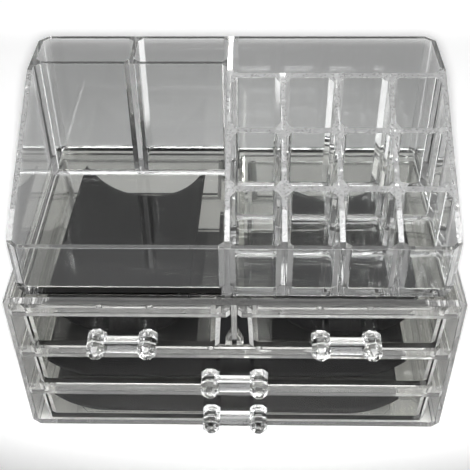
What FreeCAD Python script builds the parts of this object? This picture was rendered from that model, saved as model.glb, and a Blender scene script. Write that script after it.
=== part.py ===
import FreeCAD, Part
import math
import os
import re
import Sketcher

# A clear plastic makeup organizer: a chest with four drawers, and a divided tray that stands on it.
# X runs to the right, Y to the back and Z up, in millimetres. The origin is on the table, in the middle of
# the space the object takes up, handles included.

SIZES = [
    ("case_width", 240, "outside width of the chest"),
    ("case_depth", 136, "outside depth of the chest"),
    ("case_height", 106, "height of the case above its feet"),
    ("case_side", 3, "thickness of the case's side walls"),
    ("case_top", 5, "thickness of the case's top"),
    ("case_base", 4.5, "thickness of the case's base"),
    ("case_back", 3, "thickness of the case's back"),
    ("case_chamfer", 4, "chamfer on the case's long outer edges"),
    ("inner_chamfer", 0.8, "chamfer on the case's long inner edges"),
    ("panel_side", 27.5, "from the case's side to the panel under its base"),
    ("panel_front", 8, "from the case's front and back to that panel"),
    ("panel_depth", 0.6, "depth of that panel"),
    ("panel_corner", 4, "corner cut of that panel"),
    ("foot_size", 15, "width of a foot"),
    ("foot_height", 1, "height of the case's underside above the table"),
    ("foot_side", 10, "from the case's side to a foot"),
    ("foot_front", 4.5, "from the case's front and back to a foot"),
    ("foot_corner", 3, "corner cut of a foot"),
    ("bond_gap", 0.05, "bond line between pieces that are cemented together"),
    ("runner_width", 3.4, "how far a runner stands out"),
    ("runner_edge", 1.6, "height of a runner's free edge"),
    ("runner_root", 3.4, "height of a runner at its wall"),
    ("runner_setback", 1, "from the case's front to the runners"),
    ("divider_thickness", 3.1, "thickness of the centre divider"),
    ("divider_gap", 0.7, "from the centre divider down to the rim below it"),
    ("divider_splay", 3.6, "how far the divider's foot spreads on each side"),
    ("divider_foot", 8.5, "height of the divider's foot"),
    ("divider_notch", 4.4, "height of the notch under the divider"),
    ("divider_depth", 6, "how far the divider's foot reaches back"),
    ("drawer_pitch", 31.5, "from one drawer level to the next"),
    ("drawer_height", 30.8, "height of a drawer"),
    ("drawer_top_gap", 0.8, "from the case's top down to the highest rims"),
    ("drawer_wall", 2.6, "wall thickness of a drawer"),
    ("drawer_floor", 2.5, "floor thickness of a drawer"),
    ("drawer_draft", 1.5, "how far a drawer's sides lean in towards its floor"),
    ("drawer_corner", 2.5, "corner cut of a drawer"),
    ("rim_thickness", 3.5, "thickness of a drawer's rim"),
    ("rim_front", 4.5, "how far a rim stands out at the front"),
    ("rim_side", 4.5, "how far a rim stands out at the sides"),
    ("rim_rear", 4, "how far a rim stands out at the back"),
    ("rim_corner", 2, "corner cut of a rim"),
    ("side_gap", 0.5, "from a rim's end to the wall beside it"),
    ("rear_gap", 1.5, "from a rim to the case's back"),
    ("running_gap", 0.3, "from a rim down to its runner"),
    ("handle_spacing", 27, "from one handle post to the other"),
    ("handle_rise", 8.5, "height of a handle's axis above its drawer's underside"),
    ("collar_radius", 5.4, "corner radius of a post's collar"),
    ("collar_length", 3.6, "length of a post's collar"),
    ("groove_radius", 4.4, "corner radius at the bottom of a post's groove"),
    ("groove_length", 1, "length of a post's groove"),
    ("post_radius", 5.2, "corner radius of a post"),
    ("post_length", 15, "how far a post stands out"),
    ("bevel_length", 2.5, "length of the bevel on a post's end"),
    ("end_radius", 3, "corner radius of a post's end face"),
    ("peg_radius", 1.9, "radius of a post's peg"),
    ("peg_gap", 0.1, "from a peg to its hole"),
    ("bar_radius", 4.6, "radius of a handle's bar"),
    ("bar_standoff", 6.6, "from a drawer's front to its bar's axis"),
    ("liner_thickness", 1.2, "thickness of the drawer liners"),
    ("liner_gap", 0.3, "from a liner to the drawer's floor"),
    ("small_end", 12.3, "from a small liner's curled ends to the drawer's sides"),
    ("small_margin", 3, "from a small liner to the drawer's front and back"),
    ("small_flat", 6, "flat middle of a small liner"),
    ("small_rise", 23.5, "height of a small liner's curled ends"),
    ("small_shift", 1.5, "how far the small liners lie to the back"),
    ("left_turn", 2, "how far the left small liner lies askew"),
    ("right_turn", 0.5, "how far the right small liner lies askew"),
    ("wide_end", 4.8, "from a wide liner's curled end to the nearer side of the drawer"),
    ("wide_margin", 1.5, "from a wide liner to the drawer's front and back"),
    ("wide_curl", 40, "radius of a wide liner's curled ends"),
    ("wide_angle", 50, "angle of a wide liner's curled ends"),
    ("wide_turn", 0.4, "how far the wide liners lie askew"),
    ("wide_shift", 5, "how far the wide liners lie to the left"),
    ("tray_width", 226, "outside width of the tray"),
    ("tray_depth", 133, "outside depth of the tray"),
    ("tray_height", 77, "height of the tray at the back"),
    ("tray_front", 32, "height of the tray at the front"),
    ("tray_level", 38.5, "depth of the level part of the tray's side walls"),
    ("tray_wall", 2.8, "thickness of the tray's walls and dividers"),
    ("tray_floor", 3, "thickness of the tray's floor"),
    ("tray_corner", 5.5, "corner cut of the tray"),
    ("tray_setback", 2, "from the case's front to the tray"),
    ("seat_gap", 0.2, "from the case's top to the tray"),
    ("pocket_corner", 2.8, "corner cut inside every compartment"),
    ("floor_round", 2, "rounding of the compartments' floor edges"),
    ("column_pitch", 28.7, "from one lipstick column to the next"),
    ("row_pitch", 30.1, "from one lipstick row to the next"),
    ("rear_depth", 30.5, "from the tray's back to the cross wall on the left"),
]

CASE_TOP = "(foot_height + case_height)"
FRONT = "(-(case_depth + post_length) / 2 + post_length)"
BACK = "((case_depth + post_length) / 2)"
BACK_INSIDE = "((case_depth + post_length) / 2 - case_back)"
INNER_TOP = "(foot_height + case_height - case_top)"
INNER_SIDE = "(case_width / 2 - case_side)"

doc = FreeCAD.newDocument("makeup_organizer")
sheet = doc.addObject("Spreadsheet::Sheet", "Sizes")
for row, (name, value, meaning) in enumerate(SIZES, start=1):
    sheet.set(f"A{row}", meaning)
    sheet.set(f"B{row}", str(value))
    sheet.setAlias(f"B{row}", name)
doc.recompute()

pieces = []


def bound(text):
    """Point the size names in an expression at the sheet."""
    return re.sub(r"[a-z]+(?:_[a-z]+)+", lambda word: "Sizes." + word.group(0), text)


def size(name):
    return float(sheet.get(name))


def rim_top(level):
    """Height of the rims on one drawer level, counted from the top."""
    return f"({INNER_TOP} - drawer_top_gap - {level} * drawer_pitch)"


def new_body(label):
    body = doc.addObject("PartDesign::Body", label)
    body.Label = label
    pieces.append(body)
    return body


def new_sketch(body, role, offset):
    """An empty sketch on one of the body's own planes, moved along that plane's normal."""
    plane = next(feature for feature in body.Origin.OriginFeatures if feature.Role == role)
    sketch = body.newObject("Sketcher::SketchObject", body.Label + "_sketch")
    sketch.AttachmentSupport = (plane, [""])
    sketch.MapMode = "FlatFace"
    sketch.setExpression("AttachmentOffset.Base.z", bound(offset))
    return sketch


def add_polygon(sketch, corners):
    """A closed outline whose every corner is bound to two expressions."""
    first = sketch.GeometryCount
    count = len(corners)
    start = []
    for index in range(count):
        angle = 2 * math.pi * index / count
        start.append(FreeCAD.Vector(10 * math.cos(angle), 10 * math.sin(angle), 0))
    lines = [Part.LineSegment(start[index], start[(index + 1) % count]) for index in range(count)]
    sketch.addGeometry(lines, False)
    links = []
    for index in range(count):
        links.append(Sketcher.Constraint("Coincident", first + index, 2, first + (index + 1) % count, 1))
    sketch.addConstraint(links)
    for index, (across, along) in enumerate(corners):
        corner = start[index]
        for kind, value, text in (("DistanceX", corner.x, across), ("DistanceY", corner.y, along)):
            number = sketch.addConstraint(Sketcher.Constraint(kind, first + index, 1, value))
            sketch.setExpression(f"Constraints[{number}]", bound(text))


def add_circle(sketch, across, along, radius):
    index = sketch.addGeometry(Part.Circle(FreeCAD.Vector(1, 1, 0), FreeCAD.Vector(0, 0, 1), 1), False)
    rules = [
        (Sketcher.Constraint("DistanceX", index, 3, 1), across),
        (Sketcher.Constraint("DistanceY", index, 3, 1), along),
        (Sketcher.Constraint("Radius", index, 1), radius),
    ]
    for rule, text in rules:
        number = sketch.addConstraint(rule)
        sketch.setExpression(f"Constraints[{number}]", bound(text))


def cut_corners(x_low, x_high, y_low, y_high, cut):
    """The eight corners of a rectangle with its corners cut off."""
    return [
        (f"{x_low} + {cut}", y_low),
        (f"{x_high} - {cut}", y_low),
        (x_high, f"{y_low} + {cut}"),
        (x_high, f"{y_high} - {cut}"),
        (f"{x_high} - {cut}", y_high),
        (f"{x_low} + {cut}", y_high),
        (x_low, f"{y_high} - {cut}"),
        (x_low, f"{y_low} + {cut}"),
    ]


def extrude(body, kind, sketch, length, backwards):
    """A pad along the sketch's normal or a pocket against it, or the other way when backwards."""
    feature = body.newObject(kind, body.Label + "_step")
    feature.Profile = sketch
    feature.setExpression("Length", bound(length))
    feature.Reversed = backwards
    return feature


def loft(body, kind, upper, lower):
    feature = body.newObject(kind, body.Label + "_step")
    feature.Profile = upper
    feature.Sections = [lower]
    feature.Ruled = True
    return feature


def compound(label, members):
    group = doc.addObject("Part::Compound", label)
    group.Label = label
    group.Links = members
    pieces.append(group)


def build_case():
    body = new_body("case_shell")
    half = "case_width / 2"
    outside = new_sketch(body, "XZ_Plane", f"-{FRONT}")
    add_polygon(outside, cut_corners(f"-{half}", half, "foot_height", CASE_TOP, "case_chamfer"))
    extrude(body, "PartDesign::Pad", outside, "case_depth", True)
    inside = new_sketch(body, "XZ_Plane", f"-{FRONT}")
    floor = "(foot_height + case_base)"
    add_polygon(inside, cut_corners(f"-{INNER_SIDE}", INNER_SIDE, floor, INNER_TOP, "inner_chamfer"))
    extrude(body, "PartDesign::Pocket", inside, "case_depth - case_back", False)
    panel = new_sketch(body, "XY_Plane", "foot_height")
    side = "(case_width / 2 - panel_side)"
    near = f"({FRONT} + panel_front)"
    far = f"({BACK} - panel_front)"
    add_polygon(panel, cut_corners(f"-{side}", side, near, far, "panel_corner"))
    extrude(body, "PartDesign::Pocket", panel, "panel_depth", True)


def build_feet():
    body = new_body("corner_feet")
    sketch = new_sketch(body, "XY_Plane", "0")
    far_x = "(case_width / 2 - foot_side)"
    near_x = "(case_width / 2 - foot_side - foot_size)"
    front_row = (f"({FRONT} + foot_front)", f"({FRONT} + foot_front + foot_size)")
    back_row = (f"({BACK} - foot_front - foot_size)", f"({BACK} - foot_front)")
    for x_low, x_high in ((f"-{far_x}", f"-{near_x}"), (near_x, far_x)):
        for y_low, y_high in (front_row, back_row):
            add_polygon(sketch, cut_corners(x_low, x_high, y_low, y_high, "foot_corner"))
    extrude(body, "PartDesign::Pad", sketch, "foot_height - bond_gap", False)


def runner_top(level):
    return f"({rim_top(level)} - rim_thickness - running_gap)"


def build_runners(label, sign):
    body = new_body(label)
    sketch = new_sketch(body, "XZ_Plane", f"-{FRONT} - runner_setback")
    wall = f"{sign} * ({INNER_SIDE} - bond_gap)"
    free = f"{sign} * ({INNER_SIDE} - runner_width)"
    for level in range(3):
        top = runner_top(level)
        outline = [(wall, top), (free, top), (free, f"{top} - runner_edge"), (wall, f"{top} - runner_root")]
        add_polygon(sketch, outline)
    length = "case_depth - case_back - runner_setback - bond_gap"
    extrude(body, "PartDesign::Pad", sketch, length, True)


def build_divider():
    """An upright with a ledge on each side, and a splayed foot with a notch at its front end."""
    body = new_body("centre_divider")
    face = "divider_thickness / 2"
    ledge = "(divider_thickness / 2 + runner_width)"
    splay = "(divider_thickness / 2 + divider_splay)"
    notch = "(divider_thickness * 0.4)"
    top = runner_top(0)
    bottom = f"({rim_top(1)} + divider_gap)"
    upright = [
        (face, f"{INNER_TOP} - bond_gap"),
        (face, top),
        (ledge, top),
        (ledge, f"{top} - runner_edge"),
        (face, f"{top} - runner_root"),
        (face, f"{bottom} + divider_notch"),
    ]
    foot = [
        (face, f"{bottom} + divider_foot"),
        (splay, bottom),
        (notch, bottom),
        (notch, f"{bottom} + divider_notch"),
    ]
    full_length = "case_depth - case_back - runner_setback - bond_gap"
    for right, length in ((upright, full_length), (foot, "divider_depth")):
        sketch = new_sketch(body, "XZ_Plane", f"-{FRONT} - runner_setback")
        left = [(f"-{across}", along) for across, along in reversed(right)]
        add_polygon(sketch, right + left)
        extrude(body, "PartDesign::Pad", sketch, length, True)


def handle_posts_at(x_low, x_high):
    """Where the two posts of one drawer's handle stand."""
    centre = f"({x_low} + {x_high}) / 2"
    return [f"({centre} - handle_spacing / 2)", f"({centre} + handle_spacing / 2)"]


def build_drawer(name, x_low, x_high, level):
    """One tub: sides that lean in towards the floor, a rim all round and two holes for the handle."""
    body = new_body(name + "_drawer")
    top = rim_top(level)
    bottom = f"({top} - drawer_height)"
    rim_low = f"({x_low} + side_gap)"
    rim_high = f"({x_high} - side_gap)"
    rim_end = f"({BACK_INSIDE} - rear_gap)"

    def tub_outline(height, inset, lean):
        sketch = new_sketch(body, "XY_Plane", height)
        left = f"({rim_low} + rim_side + {inset} + {lean})"
        right = f"({rim_high} - rim_side - {inset} - {lean})"
        front = f"({FRONT} + {inset})"
        rear = f"({rim_end} - rim_rear - {inset} - {lean})"
        add_polygon(sketch, cut_corners(left, right, front, rear, "drawer_corner"))
        return sketch

    floor_lean = "drawer_draft * (1 - drawer_floor / drawer_height)"
    outer = tub_outline(top, "0", "0")
    loft(body, "PartDesign::AdditiveLoft", outer, tub_outline(bottom, "0", "drawer_draft"))
    rim = new_sketch(body, "XY_Plane", top)
    add_polygon(rim, cut_corners(rim_low, rim_high, f"({FRONT} - rim_front)", rim_end, "rim_corner"))
    extrude(body, "PartDesign::Pad", rim, "rim_thickness", True)
    mouth = tub_outline(top, "drawer_wall", "0")
    inner_floor = tub_outline(f"{bottom} + drawer_floor", "drawer_wall", floor_lean)
    loft(body, "PartDesign::SubtractiveLoft", mouth, inner_floor)
    holes = new_sketch(body, "XZ_Plane", f"-{FRONT}")
    for across in handle_posts_at(x_low, x_high):
        add_circle(holes, across, f"{bottom} + handle_rise", "peg_radius + peg_gap")
    extrude(body, "PartDesign::Pocket", holes, "drawer_wall + 1", False)


def place(feature, turn, across, along, height):
    feature.Placement = FreeCAD.Placement(FreeCAD.Vector(0, 0, 0), turn)
    feature.setExpression("Placement.Base.x", bound(across))
    feature.setExpression("Placement.Base.y", bound(along))
    feature.setExpression("Placement.Base.z", bound(height))


def eight_sided_post(label, across, height, extra):
    """A loft through eight-sided rings: collar, groove, post and bevelled end."""
    turn = FreeCAD.Rotation(FreeCAD.Vector(1, 0, 0), 90) * FreeCAD.Rotation(FreeCAD.Vector(0, 0, 1), 22.5)
    groove_end = "collar_length + groove_length"
    rings = [
        ("bond_gap", "collar_radius"),
        ("collar_length", "collar_radius"),
        ("collar_length + groove_length / 2", "groove_radius"),
        (groove_end, "post_radius"),
        ("post_length - bevel_length", "post_radius"),
        ("post_length", "end_radius"),
    ]
    sections = []
    for outwards, radius in rings:
        ring = doc.addObject("Part::RegularPolygon", label + "_ring")
        ring.Polygon = 8
        ring.setExpression("Circumradius", bound(f"{radius} + {extra}"))
        place(ring, turn, across, f"{FRONT} - ({outwards})", height)
        sections.append(ring)
    post = doc.addObject("Part::Loft", label)
    post.Sections = sections
    post.Solid = True
    post.Ruled = True
    return post


def build_handle(name, x_low, x_high, level):
    height = f"({rim_top(level)} - drawer_height + handle_rise)"
    stands = handle_posts_at(x_low, x_high)
    posts = []
    cutters = []
    for across in stands:
        peg = doc.addObject("Part::Cylinder", name + "_peg")
        peg.setExpression("Radius", bound("peg_radius"))
        peg.setExpression("Height", bound("drawer_wall + bond_gap * 2"))
        place(peg, FreeCAD.Rotation(FreeCAD.Vector(1, 0, 0), -90), across, f"{FRONT} - bond_gap * 2", height)
        post = doc.addObject("Part::Fuse", name + "_post")
        post.Base = eight_sided_post(name + "_post_body", across, height, "0")
        post.Tool = peg
        posts.append(post)
        cutters.append(eight_sided_post(name + "_cutter", across, height, "bond_gap"))
    compound(name + "_handle_posts", posts)
    rod = doc.addObject("Part::Cylinder", name + "_rod")
    rod.setExpression("Radius", bound("bar_radius"))
    rod.setExpression("Height", bound("handle_spacing"))
    place(rod, FreeCAD.Rotation(FreeCAD.Vector(0, 1, 0), 90), stands[0], f"{FRONT} - bar_standoff", height)
    first_cut = doc.addObject("Part::Cut", name + "_rod_left_end")
    first_cut.Base = rod
    first_cut.Tool = cutters[0]
    bar = doc.addObject("Part::Cut", name + "_handle_bar")
    bar.Label = name + "_handle_bar"
    bar.Base = first_cut
    bar.Tool = cutters[1]
    pieces.append(bar)


def curled_sheet(flat, radius, angle, thickness, length):
    """A sheet that lies flat in the middle and curls up at its left and right ends."""
    half = flat / 2
    reach = math.radians(angle)

    def point(side, distance, turn):
        across = half + distance * math.sin(turn)
        return FreeCAD.Vector(side * across, -length / 2, radius - distance * math.cos(turn))

    def arc(side, distance):
        return Part.Arc(*[point(side, distance, turn) for turn in (0, reach / 2, reach)]).toShape()

    def line(start, end):
        return Part.LineSegment(start, end).toShape()

    under = radius
    over = radius - thickness
    edges = [line(point(-1, under, 0), point(1, under, 0)), line(point(-1, over, 0), point(1, over, 0))]
    for side in (-1, 1):
        edges += [arc(side, under), arc(side, over)]
        edges.append(line(point(side, under, reach), point(side, over, reach)))
    outline = Part.Wire(Part.__sortEdges__(edges))
    return Part.Face(outline).extrude(FreeCAD.Vector(0, length, 0))


def drawer_half(space):
    """Half the width inside a drawer that fills this space in the case."""
    return space / 2 - size("side_gap") - size("rim_side") - size("drawer_wall")


def small_form():
    """Flat middle, curl radius and curl angle of a small drawer's liner."""
    flat = size("small_flat")
    reach = drawer_half(small_space) - size("small_end") - flat / 2
    turn = 2 * math.atan2(size("small_rise"), reach)
    return flat, reach / math.sin(turn), math.degrees(turn)


def wide_form():
    """Flat middle, curl radius and curl angle of a wide drawer's liner, which lies off the middle."""
    radius = size("wide_curl")
    angle = size("wide_angle")
    reach = drawer_half(wide_space) - size("wide_shift") - size("wide_end")
    return 2 * (reach - radius * math.sin(math.radians(angle))), radius, angle


def build_liner(name, form, margin, across, along, level, turn):
    """A loose liner, laid on its drawer's floor."""
    feature = doc.addObject("Part::Feature", name + "_liner")
    feature.Label = name + "_liner"
    back = (size("case_depth") + size("post_length")) / 2
    front = back - size("case_depth") + size("drawer_wall")
    rear_lean = size("drawer_draft") * (1 - size("drawer_floor") / size("drawer_height"))
    rear = (back - size("case_back") - size("rear_gap") - size("rim_rear")
            - size("drawer_wall") - rear_lean)
    top = (size("foot_height") + size("case_height") - size("case_top") - size("drawer_top_gap")
           - level * size("drawer_pitch"))
    height = top - size("drawer_height") + size("drawer_floor") + size("liner_gap")
    feature.Shape = curled_sheet(*form, size("liner_thickness"), rear - front - 2 * margin)
    where = FreeCAD.Vector(across, (front + rear) / 2 + along, height)
    feature.Placement = FreeCAD.Placement(where, FreeCAD.Rotation(FreeCAD.Vector(0, 0, 1), turn))
    pieces.append(feature)


def build_tray():
    body = new_body("organizer_tray")
    base = f"({CASE_TOP} + seat_gap)"
    top = f"({CASE_TOP} + seat_gap + tray_height)"
    half = "tray_width / 2"
    front = f"({FRONT} + tray_setback)"
    back = f"({FRONT} + tray_setback + tray_depth)"
    outside = new_sketch(body, "XY_Plane", base)
    add_polygon(outside, cut_corners(f"-{half}", half, front, back, "tray_corner"))
    extrude(body, "PartDesign::Pad", outside, "tray_height", False)

    slope = new_sketch(body, "YZ_Plane", "-tray_width")
    lip = f"({base} + tray_front)"
    add_polygon(slope, [
        (f"{back} - tray_level", top),
        (f"{front} + tray_corner", lip),
        (f"{front} - tray_corner", lip),
        (f"{front} - tray_corner", f"{top} + tray_corner"),
        (f"{back} - tray_level", f"{top} + tray_corner"),
    ])
    extrude(body, "PartDesign::Pocket", slope, "tray_width * 2", True)

    hollows = new_sketch(body, "XY_Plane", top)
    middle = "(tray_width / 2 - tray_wall / 2 - 4 * column_pitch)"
    cell_front = f"({front} + tray_wall / 2)"
    cross = f"({back} - rear_depth)"
    left_wall = "(-tray_width / 2 + tray_wall)"
    right_wall = "(tray_width / 2 - tray_wall)"
    left_split = f"((-tray_width / 2 + tray_wall / 2 + {middle}) / 2)"

    def hollow(x_low, x_high, y_low, y_high):
        add_polygon(hollows, cut_corners(x_low, x_high, y_low, y_high, "pocket_corner"))

    for column in range(4):
        for row in range(3):
            hollow(f"({middle} + {column} * column_pitch + tray_wall / 2)",
                   f"({middle} + {column + 1} * column_pitch - tray_wall / 2)",
                   f"({cell_front} + {row} * row_pitch + tray_wall / 2)",
                   f"({cell_front} + {row + 1} * row_pitch - tray_wall / 2)")
    back_inside = f"({back} - tray_wall)"
    grid_end = f"({cell_front} + 3 * row_pitch + tray_wall / 2)"
    hollow(f"({middle} + tray_wall / 2)", right_wall, grid_end, back_inside)
    hollow(left_wall, f"({left_split} - tray_wall / 2)", f"({cross} + tray_wall / 2)", back_inside)
    hollow(f"({left_split} + tray_wall / 2)", f"({middle} - tray_wall / 2)",
           f"({cross} + tray_wall / 2)", back_inside)
    hollow(left_wall, f"({middle} - tray_wall / 2)", f"({front} + tray_wall)", f"({cross} - tray_wall / 2)")
    cut = extrude(body, "PartDesign::Pocket", hollows, "tray_height - tray_floor", False)
    doc.recompute()

    floor_height = size("foot_height") + size("case_height") + size("seat_gap") + size("tray_floor")
    floor_edges = []
    for number, edge in enumerate(cut.Shape.Edges, start=1):
        box = edge.BoundBox
        if abs(box.ZMin - floor_height) < 0.01 and abs(box.ZMax - floor_height) < 0.01:
            floor_edges.append(f"Edge{number}")
    rounding = body.newObject("PartDesign::Fillet", "organizer_tray_rounding")
    rounding.Base = (cut, floor_edges)
    rounding.setExpression("Radius", bound("floor_round"))
    body.Tip = rounding


left_face = f"(-{INNER_SIDE})"
right_face = INNER_SIDE
middle_left = "(-divider_thickness / 2)"
middle_right = "(divider_thickness / 2)"
drawers = [
    ("small_left", left_face, middle_left, 0),
    ("small_right", middle_right, right_face, 0),
    ("wide_upper", left_face, right_face, 1),
    ("wide_lower", left_face, right_face, 2),
]
wide_space = size("case_width") - 2 * size("case_side")
small_space = (wide_space - size("divider_thickness")) / 2

build_case()
build_feet()
build_runners("left_runners", -1)
build_runners("right_runners", 1)
build_divider()
for name, x_low, x_high, level in drawers:
    build_drawer(name, x_low, x_high, level)
    build_handle(name, x_low, x_high, level)
for name, side, turn in (("small_left", -1, size("left_turn")), ("small_right", 1, size("right_turn"))):
    across = side * (small_space + size("divider_thickness")) / 2
    build_liner(name, small_form(), size("small_margin"), across, size("small_shift"), 0, -turn)
for name, level, turn in (("wide_upper", 1, size("wide_turn")), ("wide_lower", 2, -size("wide_turn"))):
    build_liner(name, wide_form(), size("wide_margin"), -size("wide_shift"), 0, level, turn)
build_tray()
doc.recompute()

for item in doc.Objects:
    if "Invalid" in item.State or "Error" in item.State:
        raise RuntimeError(f"{item.Label} is not valid: {item.State}")
os.makedirs("parts", exist_ok=True)
for piece in pieces:
    shape = piece.Shape
    if shape.isNull() or not shape.isValid() or shape.Volume <= 0:
        raise RuntimeError(f"{piece.Label} has no valid solid")
    print(piece.Label, len(shape.Solids), round(shape.Volume / 1000, 2), shape.BoundBox)
    shape.exportStep(f"parts/{piece.Label}.step")
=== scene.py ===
"""The looks of a clear makeup organizer: glossy clear plastic and loose black liners in the drawers.

Metres, with X to the right, Y to the back and Z up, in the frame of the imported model.
"""

import math

import bmesh
import bpy
from mathutils import Matrix, Vector


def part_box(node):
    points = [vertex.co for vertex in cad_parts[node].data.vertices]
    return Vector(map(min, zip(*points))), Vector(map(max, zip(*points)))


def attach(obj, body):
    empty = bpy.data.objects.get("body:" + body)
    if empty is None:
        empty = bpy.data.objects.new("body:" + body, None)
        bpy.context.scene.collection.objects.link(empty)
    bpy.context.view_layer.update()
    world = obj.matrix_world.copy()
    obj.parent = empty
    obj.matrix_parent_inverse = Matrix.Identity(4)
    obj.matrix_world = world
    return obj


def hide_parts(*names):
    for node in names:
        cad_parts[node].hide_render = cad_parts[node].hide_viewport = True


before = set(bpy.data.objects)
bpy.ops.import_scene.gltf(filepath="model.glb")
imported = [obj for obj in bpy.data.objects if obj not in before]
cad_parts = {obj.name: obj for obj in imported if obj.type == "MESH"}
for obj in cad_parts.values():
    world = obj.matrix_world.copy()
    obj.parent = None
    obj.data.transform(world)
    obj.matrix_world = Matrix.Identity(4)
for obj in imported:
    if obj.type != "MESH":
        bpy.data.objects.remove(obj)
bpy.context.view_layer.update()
scene = bpy.context.scene
scene.view_settings.view_transform = "Standard"
MM = 0.001

# Layers of clear plastic need many bounces before a ray reaches the floor.
scene.cycles.max_bounces = 40
scene.cycles.transmission_bounces = 36
scene.cycles.glossy_bounces = 12
scene.cycles.diffuse_bounces = 3

# Camera: where it stands, how it is turned, and its focal length in widths of the square image.
CAMERA_PLACE = Vector((8.5, -367.65, 414.1)) * MM
CAMERA_YAW = math.radians(-1.391)
CAMERA_PITCH = math.radians(40.686)
CAMERA_ROLL = math.radians(0.642)
FOCAL_WIDTHS = 1.7995
SENSOR = 36.0

# Light, at a level where a colour renders about as it is written: the floor's own glow near and far, with the
# places where the far glow starts and is full, the glow of the studio's walls in front and behind and of its
# ceiling, a lamp at the camera, a weak one over the floor behind the object, and a panel overhead that shows
# in the gloss only.
FLOOR_GLOW = (0.09, 0.24)
FLOOR_FAR = (0.4, 0.47)
FRONT_GLOW = 0.08
BACK_GLOW = 0.25
WALL_TURN = (-0.8, 0.8)
CEILING_GLOW = 0.35
CEILING_EDGE = (0.72, 0.85)
KEY_POWER = 55.0
KEY_ANGLE = math.radians(120)
KEY_BLEND = 0.27
KEY_DROP = math.radians(1.2)
LAMP_SOFTNESS = 0.012
REAR_POWER = 2.8
REAR_ANGLE = math.radians(36)
REAR_PLACE = Vector((0, 0.17, 0.75))
PANEL_GLOW = 8.0
PANEL_PLACE = Vector((0, -0.37, 0.85))
PANEL_SIZE = (1.3, 0.6)

# Clear plastic: its colour, a little yellower in the chest, how it bends light, how much of the mirroring its
# front faces keep, cut low on the drawers as painted shade in what they reflect, and how hazy it is on
# rounded edges, cut corners and some of its faces, a haze that is partly painted highlight.
CLEAR = (0.975, 0.98, 0.977)
CHEST_CLEAR = (0.978, 0.978, 0.962)
PLASTIC_IOR = 1.5
# The drawers' front faces keep only this much of their mirroring: painted shade, as if the floor in front lay
# in shade.
DRAWER_MIRROR_PAINTED_SHADE = 0.05
# Haze on rounded edges and cut corners: partly real scatter, partly painted highlight for light that the
# walls pipe.
TRAY_EDGE_HAZE_HIGHLIGHT = (0.6, 0.07)
# Haze on the sloped and level tops of the tray's walls: partly painted highlight, for the light overhead that
# these tops mirror.
TRAY_SLOPE_HAZE_HIGHLIGHT = 0.3
TRAY_TOP_HAZE_HIGHLIGHT = 0.11
# The drawers' edge and corner haze: partly real scatter, partly painted highlight.
DRAWER_EDGE_HAZE_HIGHLIGHT = (0.25, 0.6)
# Faint haze on the drawers' floors: painted light, so that their edge-on line reads lighter instead of dark.
DRAWER_FLOOR_HAZE_PAINTED_LIGHT = 0.06
# Haze on the rims' tops and fronts: painted reflection, a pale band in place of the ground that the rims
# mirror.
RIM_HAZE_PAINTED_REFLECTION = 0.13
# The case's edge and corner haze: partly real scatter, partly painted highlight.
CASE_EDGE_HAZE_HIGHLIGHT = (0.06, 0.03)
# Haze on the case's front faces: partly painted highlight, for light that the case's walls pipe to their
# fronts.
CASE_FRONT_HAZE_HIGHLIGHT = 0.11

# Unevenness of the plastic, as noise scales per metre: clouds in its haze, which is partly painted highlight,
# drawn out along the drawers and the case, smudges in its gloss, and the ripple of a moulded face.
CLOUD_SCALE = 900
CLOUD_RANGE = (0.4, 1.6)
STREAK = (0.1, 1, 1)
SMUDGE_SCALE = 60
SMUDGE_ROUGHNESS = (0.0, 0.03)
RIPPLE_SCALE = 45
RIPPLE_STRENGTH = 0.05
RIPPLE_DEPTH = 0.2 * MM

# Where the hazes, partly painted highlight, start and are full, from the case's front, the tray's base, the
# case's front for the tops of the rims, a rim's top and a drawer's underside.
CASE_FRONT_BAND = (1.6 * MM, 1.2 * MM)
TRAY_FLOOR_BAND = (7 * MM, 8 * MM)
RIM_TOP_BAND = (0.6 * MM, 0.2 * MM)
RIM_FRONT_BAND = (-3.8 * MM, -3.4 * MM)
DRAWER_FLOOR_BAND = (0.5 * MM, 0.3 * MM)

# Faces told apart by the largest part of their direction, which is 1 on flat faces, 0.92 on the roundings
# between them and 0.71 on cut corners: where each mask starts and is full.
ROUNDED_BELOW = (0.955, 0.94)
ROUNDED_ABOVE = (0.9, 0.912)
CORNER_BELOW = (0.8, 0.75)

# Cosines between a face and the direction asked for, where a mask starts and is full.
FLAT = (0.97, 0.99)
NEARLY_FLAT = (0.95, 0.98)
RIM_FACES = (0.9, 0.98)
CASE_FRONT_FACES = (0.1, 0.5)

# Directions that faces look in. The tops of the tray's walls slope down to the front.
TRAY_SLOPE = math.atan2(45.0, 89.0)
UP = (0, 0, 1)
FORWARD = (0, -1, 0)
DOWN_SLOPE = (0, -math.sin(TRAY_SLOPE), math.cos(TRAY_SLOPE))

# Roundings of the edges.
EDGE = 0.35 * MM
HANDLE_EDGE = 0.2 * MM

# Liners: thickness, the flat middle, curl radius, curl angle and length in each size of drawer, how far each
# lies askew, and the scale, colours and depth of their nap.
LINER_THICKNESS = 1.2 * MM
SMALL_LINER = (6 * MM, 36.96 * MM, math.radians(68), 114.9 * MM)
WIDE_LINER = (137.9 * MM, 39.4 * MM, math.radians(50), 117.9 * MM)
LINERS = {
    "small_left": (SMALL_LINER, math.radians(-2)),
    "small_right": (SMALL_LINER, math.radians(-0.5)),
    "wide_upper": (WIDE_LINER, math.radians(0.4)),
    "wide_lower": (WIDE_LINER, math.radians(-0.4)),
}
NAP_SCALE = 2600
NAP_DARK = (0.011, 0.011, 0.012, 1)
NAP_LIGHT = (0.026, 0.026, 0.027, 1)
NAP_STRENGTH = 0.4
NAP_DEPTH = 0.1 * MM


def new_material(name):
    material = bpy.data.materials.new(name)
    material.use_nodes = True
    nodes = material.node_tree.nodes
    return material, nodes, material.node_tree.links, nodes["Principled BSDF"]


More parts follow.
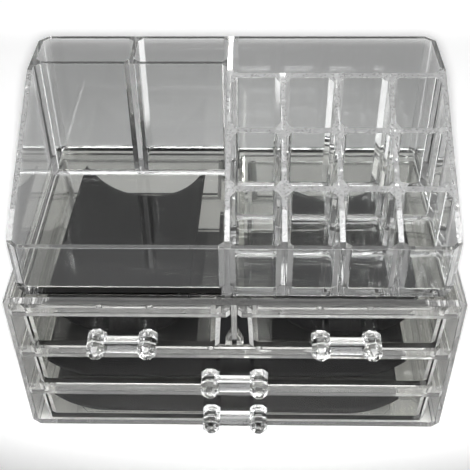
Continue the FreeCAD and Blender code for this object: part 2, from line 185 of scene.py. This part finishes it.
def noise(nodes, links, scale, detail, stretch=(1, 1, 1)):
    """Noise laid in the object's own space, drawn out by stretch."""
    place = nodes.new("ShaderNodeTexCoord")
    mapping = nodes.new("ShaderNodeMapping")
    mapping.inputs["Scale"].default_value = stretch
    texture = nodes.new("ShaderNodeTexNoise")
    texture.inputs["Scale"].default_value = scale
    texture.inputs["Detail"].default_value = detail
    links.new(place.outputs["Object"], mapping.inputs["Vector"])
    links.new(mapping.outputs["Vector"], texture.inputs["Vector"])
    return texture.outputs["Fac"]


def spread(nodes, links, value, low, high):
    """Maps a value from 0 to 1 onto low to high."""
    ramp = nodes.new("ShaderNodeMapRange")
    ramp.inputs["To Min"].default_value = low
    ramp.inputs["To Max"].default_value = high
    links.new(value, ramp.inputs["Value"])
    return ramp.outputs["Result"]


def step_between(nodes, links, value, start, end):
    """0 before start, 1 after end, and smooth between them."""
    step = nodes.new("ShaderNodeMapRange")
    step.interpolation_type = "SMOOTHSTEP"
    step.inputs["From Min"].default_value = start
    step.inputs["From Max"].default_value = end
    links.new(value, step.inputs["Value"])
    return step.outputs["Result"]


def combine(nodes, links, operation, first, second):
    """Two values or sockets put together by a maths operation."""
    node = nodes.new("ShaderNodeMath")
    node.operation = operation
    for value, socket in zip((first, second), node.inputs):
        if isinstance(value, (int, float)):
            socket.default_value = value
        else:
            links.new(value, socket)
    return node.outputs["Value"]


def facing(nodes, links, direction, start, end):
    """1 on faces that look in this direction, from start to end of the cosine between them."""
    geometry = nodes.new("ShaderNodeNewGeometry")
    looks = nodes.new("ShaderNodeVectorMath")
    looks.operation = "DOT_PRODUCT"
    looks.inputs[1].default_value = direction
    links.new(geometry.outputs["True Normal"], looks.inputs[0])
    return step_between(nodes, links, looks.outputs["Value"], start, end)


def edges_and_corners(nodes, links):
    """Two masks from how far a face leans away from the nearest axis: rounded edges, and cut corners."""
    geometry = nodes.new("ShaderNodeNewGeometry")
    size = nodes.new("ShaderNodeVectorMath")
    size.operation = "ABSOLUTE"
    parts = nodes.new("ShaderNodeSeparateXYZ")
    links.new(geometry.outputs["True Normal"], size.inputs[0])
    links.new(size.outputs["Vector"], parts.inputs["Vector"])
    largest = combine(nodes, links, "MAXIMUM", parts.outputs["X"], parts.outputs["Y"])
    largest = combine(nodes, links, "MAXIMUM", largest, parts.outputs["Z"])
    edges = combine(nodes, links, "MULTIPLY", step_between(nodes, links, largest, *ROUNDED_BELOW),
                    step_between(nodes, links, largest, *ROUNDED_ABOVE))
    return edges, step_between(nodes, links, largest, *CORNER_BELOW)


def beyond(nodes, links, axis, start, end):
    """0 before start on an axis of the object and 1 after end."""
    place = nodes.new("ShaderNodeTexCoord")
    parts = nodes.new("ShaderNodeSeparateXYZ")
    links.new(place.outputs["Object"], parts.inputs["Vector"])
    return step_between(nodes, links, parts.outputs[axis], start, end)


def band(axis, origin, offsets):
    """The place of a haze on an axis: where it starts and where it is full, from an origin."""
    return axis, origin + offsets[0], origin + offsets[1]


def clear_plastic(name, colour, edge_haze_highlights, haze_highlight_faces, front_mirror_painted_shade=1.0, streak=(1, 1, 1)):
    """Clear moulded plastic with an uneven gloss, the faint ripple of a moulded face and hazy places, partly
    painted highlight.

    The edge hazes are those of its rounded edges and its cut corners, partly real scatter and partly painted
    highlight. Each of the hazy faces has the direction it looks in with the cosines where the haze starts and
    is full, the axis with the places where it starts and is full, and its strength; the haze on them is
    partly painted highlight too.
    """
    material, nodes, links, shader = new_material(name)
    shader.inputs["Base Color"].default_value = (*colour, 1)
    shader.inputs["IOR"].default_value = PLASTIC_IOR
    edges, corners = edges_and_corners(nodes, links)
    # White haze lit by the lamps on edges, corners and the chosen faces: partly painted highlight.
    haze_highlight = combine(nodes, links, "MAXIMUM", combine(nodes, links, "MULTIPLY", edges, edge_haze_highlights[0]),
                   combine(nodes, links, "MULTIPLY", corners, edge_haze_highlights[1]))
    for look, place, strength in haze_highlight_faces:
        mask = combine(nodes, links, "MULTIPLY", facing(nodes, links, *look), beyond(nodes, links, *place))
        face = combine(nodes, links, "MULTIPLY", mask, strength)
        haze_highlight = combine(nodes, links, "MAXIMUM", haze_highlight, face)
    cloud = spread(nodes, links, noise(nodes, links, CLOUD_SCALE, 3, streak), *CLOUD_RANGE)
    haze_highlight = combine(nodes, links, "MULTIPLY", haze_highlight, cloud)
    links.new(combine(nodes, links, "SUBTRACT", 1, haze_highlight), shader.inputs["Transmission Weight"])
    # Faces that look forward keep only the given part of their mirroring; a low part is painted shade in what
    # they reflect.
    mirror_painted_shade = nodes.new("ShaderNodeMix")
    mirror_painted_shade.data_type = "RGBA"
    mirror_painted_shade.inputs["A"].default_value = (1, 1, 1, 1)
    mirror_painted_shade.inputs["B"].default_value = (front_mirror_painted_shade, front_mirror_painted_shade, front_mirror_painted_shade, 1)
    links.new(facing(nodes, links, FORWARD, *NEARLY_FLAT), mirror_painted_shade.inputs["Factor"])
    links.new(mirror_painted_shade.outputs["Result"], shader.inputs["Specular Tint"])
    smudge = noise(nodes, links, SMUDGE_SCALE, 4)
    links.new(spread(nodes, links, smudge, *SMUDGE_ROUGHNESS), shader.inputs["Roughness"])
    bump = nodes.new("ShaderNodeBump")
    bump.inputs["Strength"].default_value = RIPPLE_STRENGTH
    bump.inputs["Distance"].default_value = RIPPLE_DEPTH
    links.new(noise(nodes, links, RIPPLE_SCALE, 1), bump.inputs["Height"])
    links.new(bump.outputs["Normal"], shader.inputs["Normal"])
    return material


def liner_black():
    """Black felted sheet: a fine nap that catches a little light."""
    material, nodes, links, shader = new_material("liner_black")
    nap = noise(nodes, links, NAP_SCALE, 3)
    ramp = nodes.new("ShaderNodeValToRGB")
    ramp.color_ramp.elements[0].color = NAP_DARK
    ramp.color_ramp.elements[1].color = NAP_LIGHT
    links.new(nap, ramp.inputs["Fac"])
    links.new(ramp.outputs["Color"], shader.inputs["Base Color"])
    shader.inputs["Roughness"].default_value = 0.75
    shader.inputs["Specular IOR Level"].default_value = 0
    shader.inputs["Sheen Weight"].default_value = 0.05
    bump = nodes.new("ShaderNodeBump")
    bump.inputs["Strength"].default_value = NAP_STRENGTH
    bump.inputs["Distance"].default_value = NAP_DEPTH
    links.new(nap, bump.inputs["Height"])
    links.new(bump.outputs["Normal"], shader.inputs["Normal"])
    return material


def dress(node, material, edge):
    """Gives a CAD node its finish, and its sharp edges a small rounding."""
    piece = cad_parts[node]
    piece.data.materials.clear()
    piece.data.materials.append(material)
    weld = piece.modifiers.new("weld", "WELD")
    weld.merge_threshold = 0.002 * MM
    flats = piece.modifiers.new("flats", "DECIMATE")
    flats.decimate_type = "DISSOLVE"
    flats.angle_limit = math.radians(0.5)
    rounding = piece.modifiers.new("rounding", "BEVEL")
    rounding.width = edge
    rounding.segments = 2
    rounding.limit_method = "ANGLE"
    rounding.angle_limit = math.radians(35)
    normals = piece.modifiers.new("normals", "WEIGHTED_NORMAL")
    normals.keep_sharp = True
    normals.weight = 100


def make_floor():
    """A white floor, with a little glow that shows directly, in gloss and through clear plastic only."""
    mesh = bpy.data.meshes.new("floor")
    reach = 8.0
    corners = [(-reach, -reach, 0), (reach, -reach, 0), (reach, reach, 0), (-reach, reach, 0)]
    mesh.from_pydata(corners, [], [(0, 1, 2, 3)])
    floor = bpy.data.objects.new("floor", mesh)
    scene.collection.objects.link(floor)
    material, nodes, links, shader = new_material("floor_white")
    shader.inputs["Base Color"].default_value = (0.98, 0.98, 0.98, 1)
    shader.inputs["Roughness"].default_value = 0.9
    shader.inputs["Specular IOR Level"].default_value = 0
    path = nodes.new("ShaderNodeLightPath")
    seen = combine(nodes, links, "MAXIMUM", path.outputs["Is Camera Ray"], path.outputs["Is Glossy Ray"])
    seen = combine(nodes, links, "MAXIMUM", seen, path.outputs["Is Transmission Ray"])
    shader.inputs["Emission Color"].default_value = (1, 1, 1, 1)
    glow = spread(nodes, links, beyond(nodes, links, "Y", *FLOOR_FAR), *FLOOR_GLOW)
    links.new(combine(nodes, links, "MULTIPLY", seen, glow), shader.inputs["Emission Strength"])
    material.cycles.emission_sampling = "NONE"
    mesh.materials.append(material)


def make_world():
    """A soft glow all round, brighter behind the object than in front of it and brightest overhead."""
    world = bpy.data.worlds.new("studio")
    world.use_nodes = True
    nodes = world.node_tree.nodes
    links = world.node_tree.links
    background = nodes["Background"]
    background.inputs["Color"].default_value = (1, 1, 1, 1)
    place = nodes.new("ShaderNodeTexCoord")
    direction = nodes.new("ShaderNodeSeparateXYZ")
    links.new(place.outputs["Generated"], direction.inputs["Vector"])
    behind = step_between(nodes, links, direction.outputs["Y"], *WALL_TURN)
    walls = spread(nodes, links, behind, FRONT_GLOW, BACK_GLOW)
    glow = nodes.new("ShaderNodeMix")
    glow.inputs["B"].default_value = CEILING_GLOW
    links.new(step_between(nodes, links, direction.outputs["Z"], *CEILING_EDGE), glow.inputs["Factor"])
    links.new(walls, glow.inputs["A"])
    links.new(glow.outputs["Result"], background.inputs["Strength"])
    scene.world = world


def view_axes():
    """The camera's right, up and forward directions."""
    forward = Vector((math.sin(CAMERA_YAW) * math.cos(CAMERA_PITCH),
                      math.cos(CAMERA_YAW) * math.cos(CAMERA_PITCH),
                      -math.sin(CAMERA_PITCH)))
    level = Vector((math.cos(CAMERA_YAW), -math.sin(CAMERA_YAW), 0))
    down = forward.cross(level)
    right = math.cos(CAMERA_ROLL) * level + math.sin(CAMERA_ROLL) * down
    down = -math.sin(CAMERA_ROLL) * level + math.cos(CAMERA_ROLL) * down
    return right, -down, forward


def make_camera():
    right, up, forward = view_axes()
    data = bpy.data.cameras.new("camera")
    data.sensor_width = SENSOR
    data.lens = FOCAL_WIDTHS * SENSOR
    data.clip_start = 0.01
    camera = bpy.data.objects.new("camera", data)
    scene.collection.objects.link(camera)
    turn = Matrix((right, up, -forward)).transposed().to_4x4()
    camera.matrix_world = Matrix.Translation(CAMERA_PLACE) @ turn
    scene.camera = camera


def make_spot(name, place, aim, power, angle, blend):
    """A spot lamp that doesn't show in glossy or clear surfaces."""
    data = bpy.data.lights.new(name, "SPOT")
    data.energy = power
    data.spot_size = angle
    data.spot_blend = blend
    data.shadow_soft_size = LAMP_SOFTNESS
    lamp = bpy.data.objects.new(name, data)
    lamp.visible_glossy = False
    lamp.visible_transmission = False
    scene.collection.objects.link(lamp)
    lamp.matrix_world = Matrix.Translation(place) @ aim.to_track_quat("-Z", "Y").to_matrix().to_4x4()
    return data


def make_key():
    """The lamp at the camera, equally strong near and far."""
    aim = Vector((0, math.cos(KEY_DROP), -math.sin(KEY_DROP)))
    data = make_spot("key", CAMERA_PLACE, aim, KEY_POWER, KEY_ANGLE, KEY_BLEND)
    data.use_nodes = True
    nodes = data.node_tree.nodes
    falloff = nodes.new("ShaderNodeLightFalloff")
    falloff.inputs["Strength"].default_value = 1
    data.node_tree.links.new(falloff.outputs["Constant"], nodes["Emission"].inputs["Strength"])


def make_panel():
    """A panel overhead that shows in glossy and clear surfaces and lights nothing else."""
    data = bpy.data.lights.new("panel", "AREA")
    data.shape = "RECTANGLE"
    data.size, data.size_y = PANEL_SIZE
    data.energy = PANEL_GLOW * math.pi * data.size * data.size_y
    panel = bpy.data.objects.new("panel", data)
    panel.visible_camera = False
    panel.visible_diffuse = False
    panel.location = PANEL_PLACE
    scene.collection.objects.link(panel)


def liner_mesh(name, flat, radius, angle, length):
    """A sheet that lies flat in the middle and curls up at both ends."""
    mesh = bpy.data.meshes.new(name)
    grid = bmesh.new()
    curl = radius * angle
    half = flat / 2 + curl
    across = 96
    along = 40
    rows = []
    for j in range(along + 1):
        y = length * (j / along - 0.5)
        row = []
        for i in range(across + 1):
            s = half * (2 * i / across - 1)
            side = 1 if s > 0 else -1
            past = max(0.0, abs(s) - flat / 2)
            turn = past / radius
            x = side * (min(abs(s), flat / 2) + radius * math.sin(turn))
            z = radius * (1 - math.cos(turn))
            row.append(grid.verts.new((x, y, z)))
        rows.append(row)
    for j in range(along):
        for i in range(across):
            grid.faces.new((rows[j][i], rows[j][i + 1], rows[j + 1][i + 1], rows[j + 1][i]))
    grid.to_mesh(mesh)
    grid.free()
    for polygon in mesh.polygons:
        polygon.use_smooth = True
    return mesh


def make_liner(drawer, form, turn, material):
    """Lays one liner where its CAD solid lies."""
    node = drawer + "_liner"
    low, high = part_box(node)
    flat, radius, angle, length = form
    piece = bpy.data.objects.new(drawer + "_felt", liner_mesh(drawer + "_felt", flat, radius, angle, length))
    scene.collection.objects.link(piece)
    place = Vector(((low.x + high.x) / 2, (low.y + high.y) / 2, low.z + LINER_THICKNESS / 2))
    piece.matrix_world = Matrix.Translation(place) @ Matrix.Rotation(turn, 4, "Z")
    body = piece.modifiers.new("body", "SOLIDIFY")
    body.thickness = LINER_THICKNESS
    body.offset = 0
    piece.data.materials.append(material)
    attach(piece, drawer)
    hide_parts(node)


make_camera()
make_world()
make_floor()
make_key()
make_spot("rear", REAR_PLACE, Vector((0, 0, -1)), REAR_POWER, REAR_ANGLE, 1.0)
make_panel()

felt = liner_black()
handle_clear = clear_plastic("handle_clear", CLEAR, (0, 0), ())

case_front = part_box("case_shell")[0].y
# The haze on the case's front faces and on its edges and corners is partly painted highlight.
case_faces = [((FORWARD, *CASE_FRONT_FACES), band("Y", case_front, CASE_FRONT_BAND), CASE_FRONT_HAZE_HIGHLIGHT)]
case_clear = clear_plastic("case_clear", CHEST_CLEAR, CASE_EDGE_HAZE_HIGHLIGHT, case_faces, streak=STREAK)
for node in ("case_shell", "corner_feet", "left_runners", "right_runners", "centre_divider"):
    dress(node, case_clear, EDGE)

above_floor = band("Z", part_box("organizer_tray")[0].z, TRAY_FLOOR_BAND)
# The haze on the tray's tops and on its edges and corners is partly painted highlight.
tray_faces = [((DOWN_SLOPE, *FLAT), above_floor, TRAY_SLOPE_HAZE_HIGHLIGHT),
              ((UP, *FLAT), above_floor, TRAY_TOP_HAZE_HIGHLIGHT)]
dress("organizer_tray", clear_plastic("tray_clear", CLEAR, TRAY_EDGE_HAZE_HIGHLIGHT, tray_faces), EDGE)

for drawer in LINERS:
    underside, rim_top = [corner.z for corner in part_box(drawer + "_drawer")]
    # The rims' haze is painted reflection of the ground in front of the chest.
    drawer_faces = [((UP, *RIM_FACES), band("Y", case_front, RIM_TOP_BAND), RIM_HAZE_PAINTED_REFLECTION),
                    ((FORWARD, *RIM_FACES), band("Z", rim_top, RIM_FRONT_BAND), RIM_HAZE_PAINTED_REFLECTION),
                    # the floors' faint haze is painted light
                    ((UP, *FLAT), band("Z", underside, DRAWER_FLOOR_BAND), DRAWER_FLOOR_HAZE_PAINTED_LIGHT)]
    # Their front faces' low mirroring is painted shade, and their edge and corner haze is partly painted
    # highlight.
    drawer_clear = clear_plastic(drawer + "_clear", CHEST_CLEAR, DRAWER_EDGE_HAZE_HIGHLIGHT, drawer_faces, DRAWER_MIRROR_PAINTED_SHADE,
                                 STREAK)
    dress(drawer + "_drawer", drawer_clear, EDGE)
    dress(drawer + "_handle_posts", handle_clear, HANDLE_EDGE)
    dress(drawer + "_handle_bar", handle_clear, HANDLE_EDGE)

for drawer, (form, turn) in LINERS.items():
    make_liner(drawer, form, turn, felt)
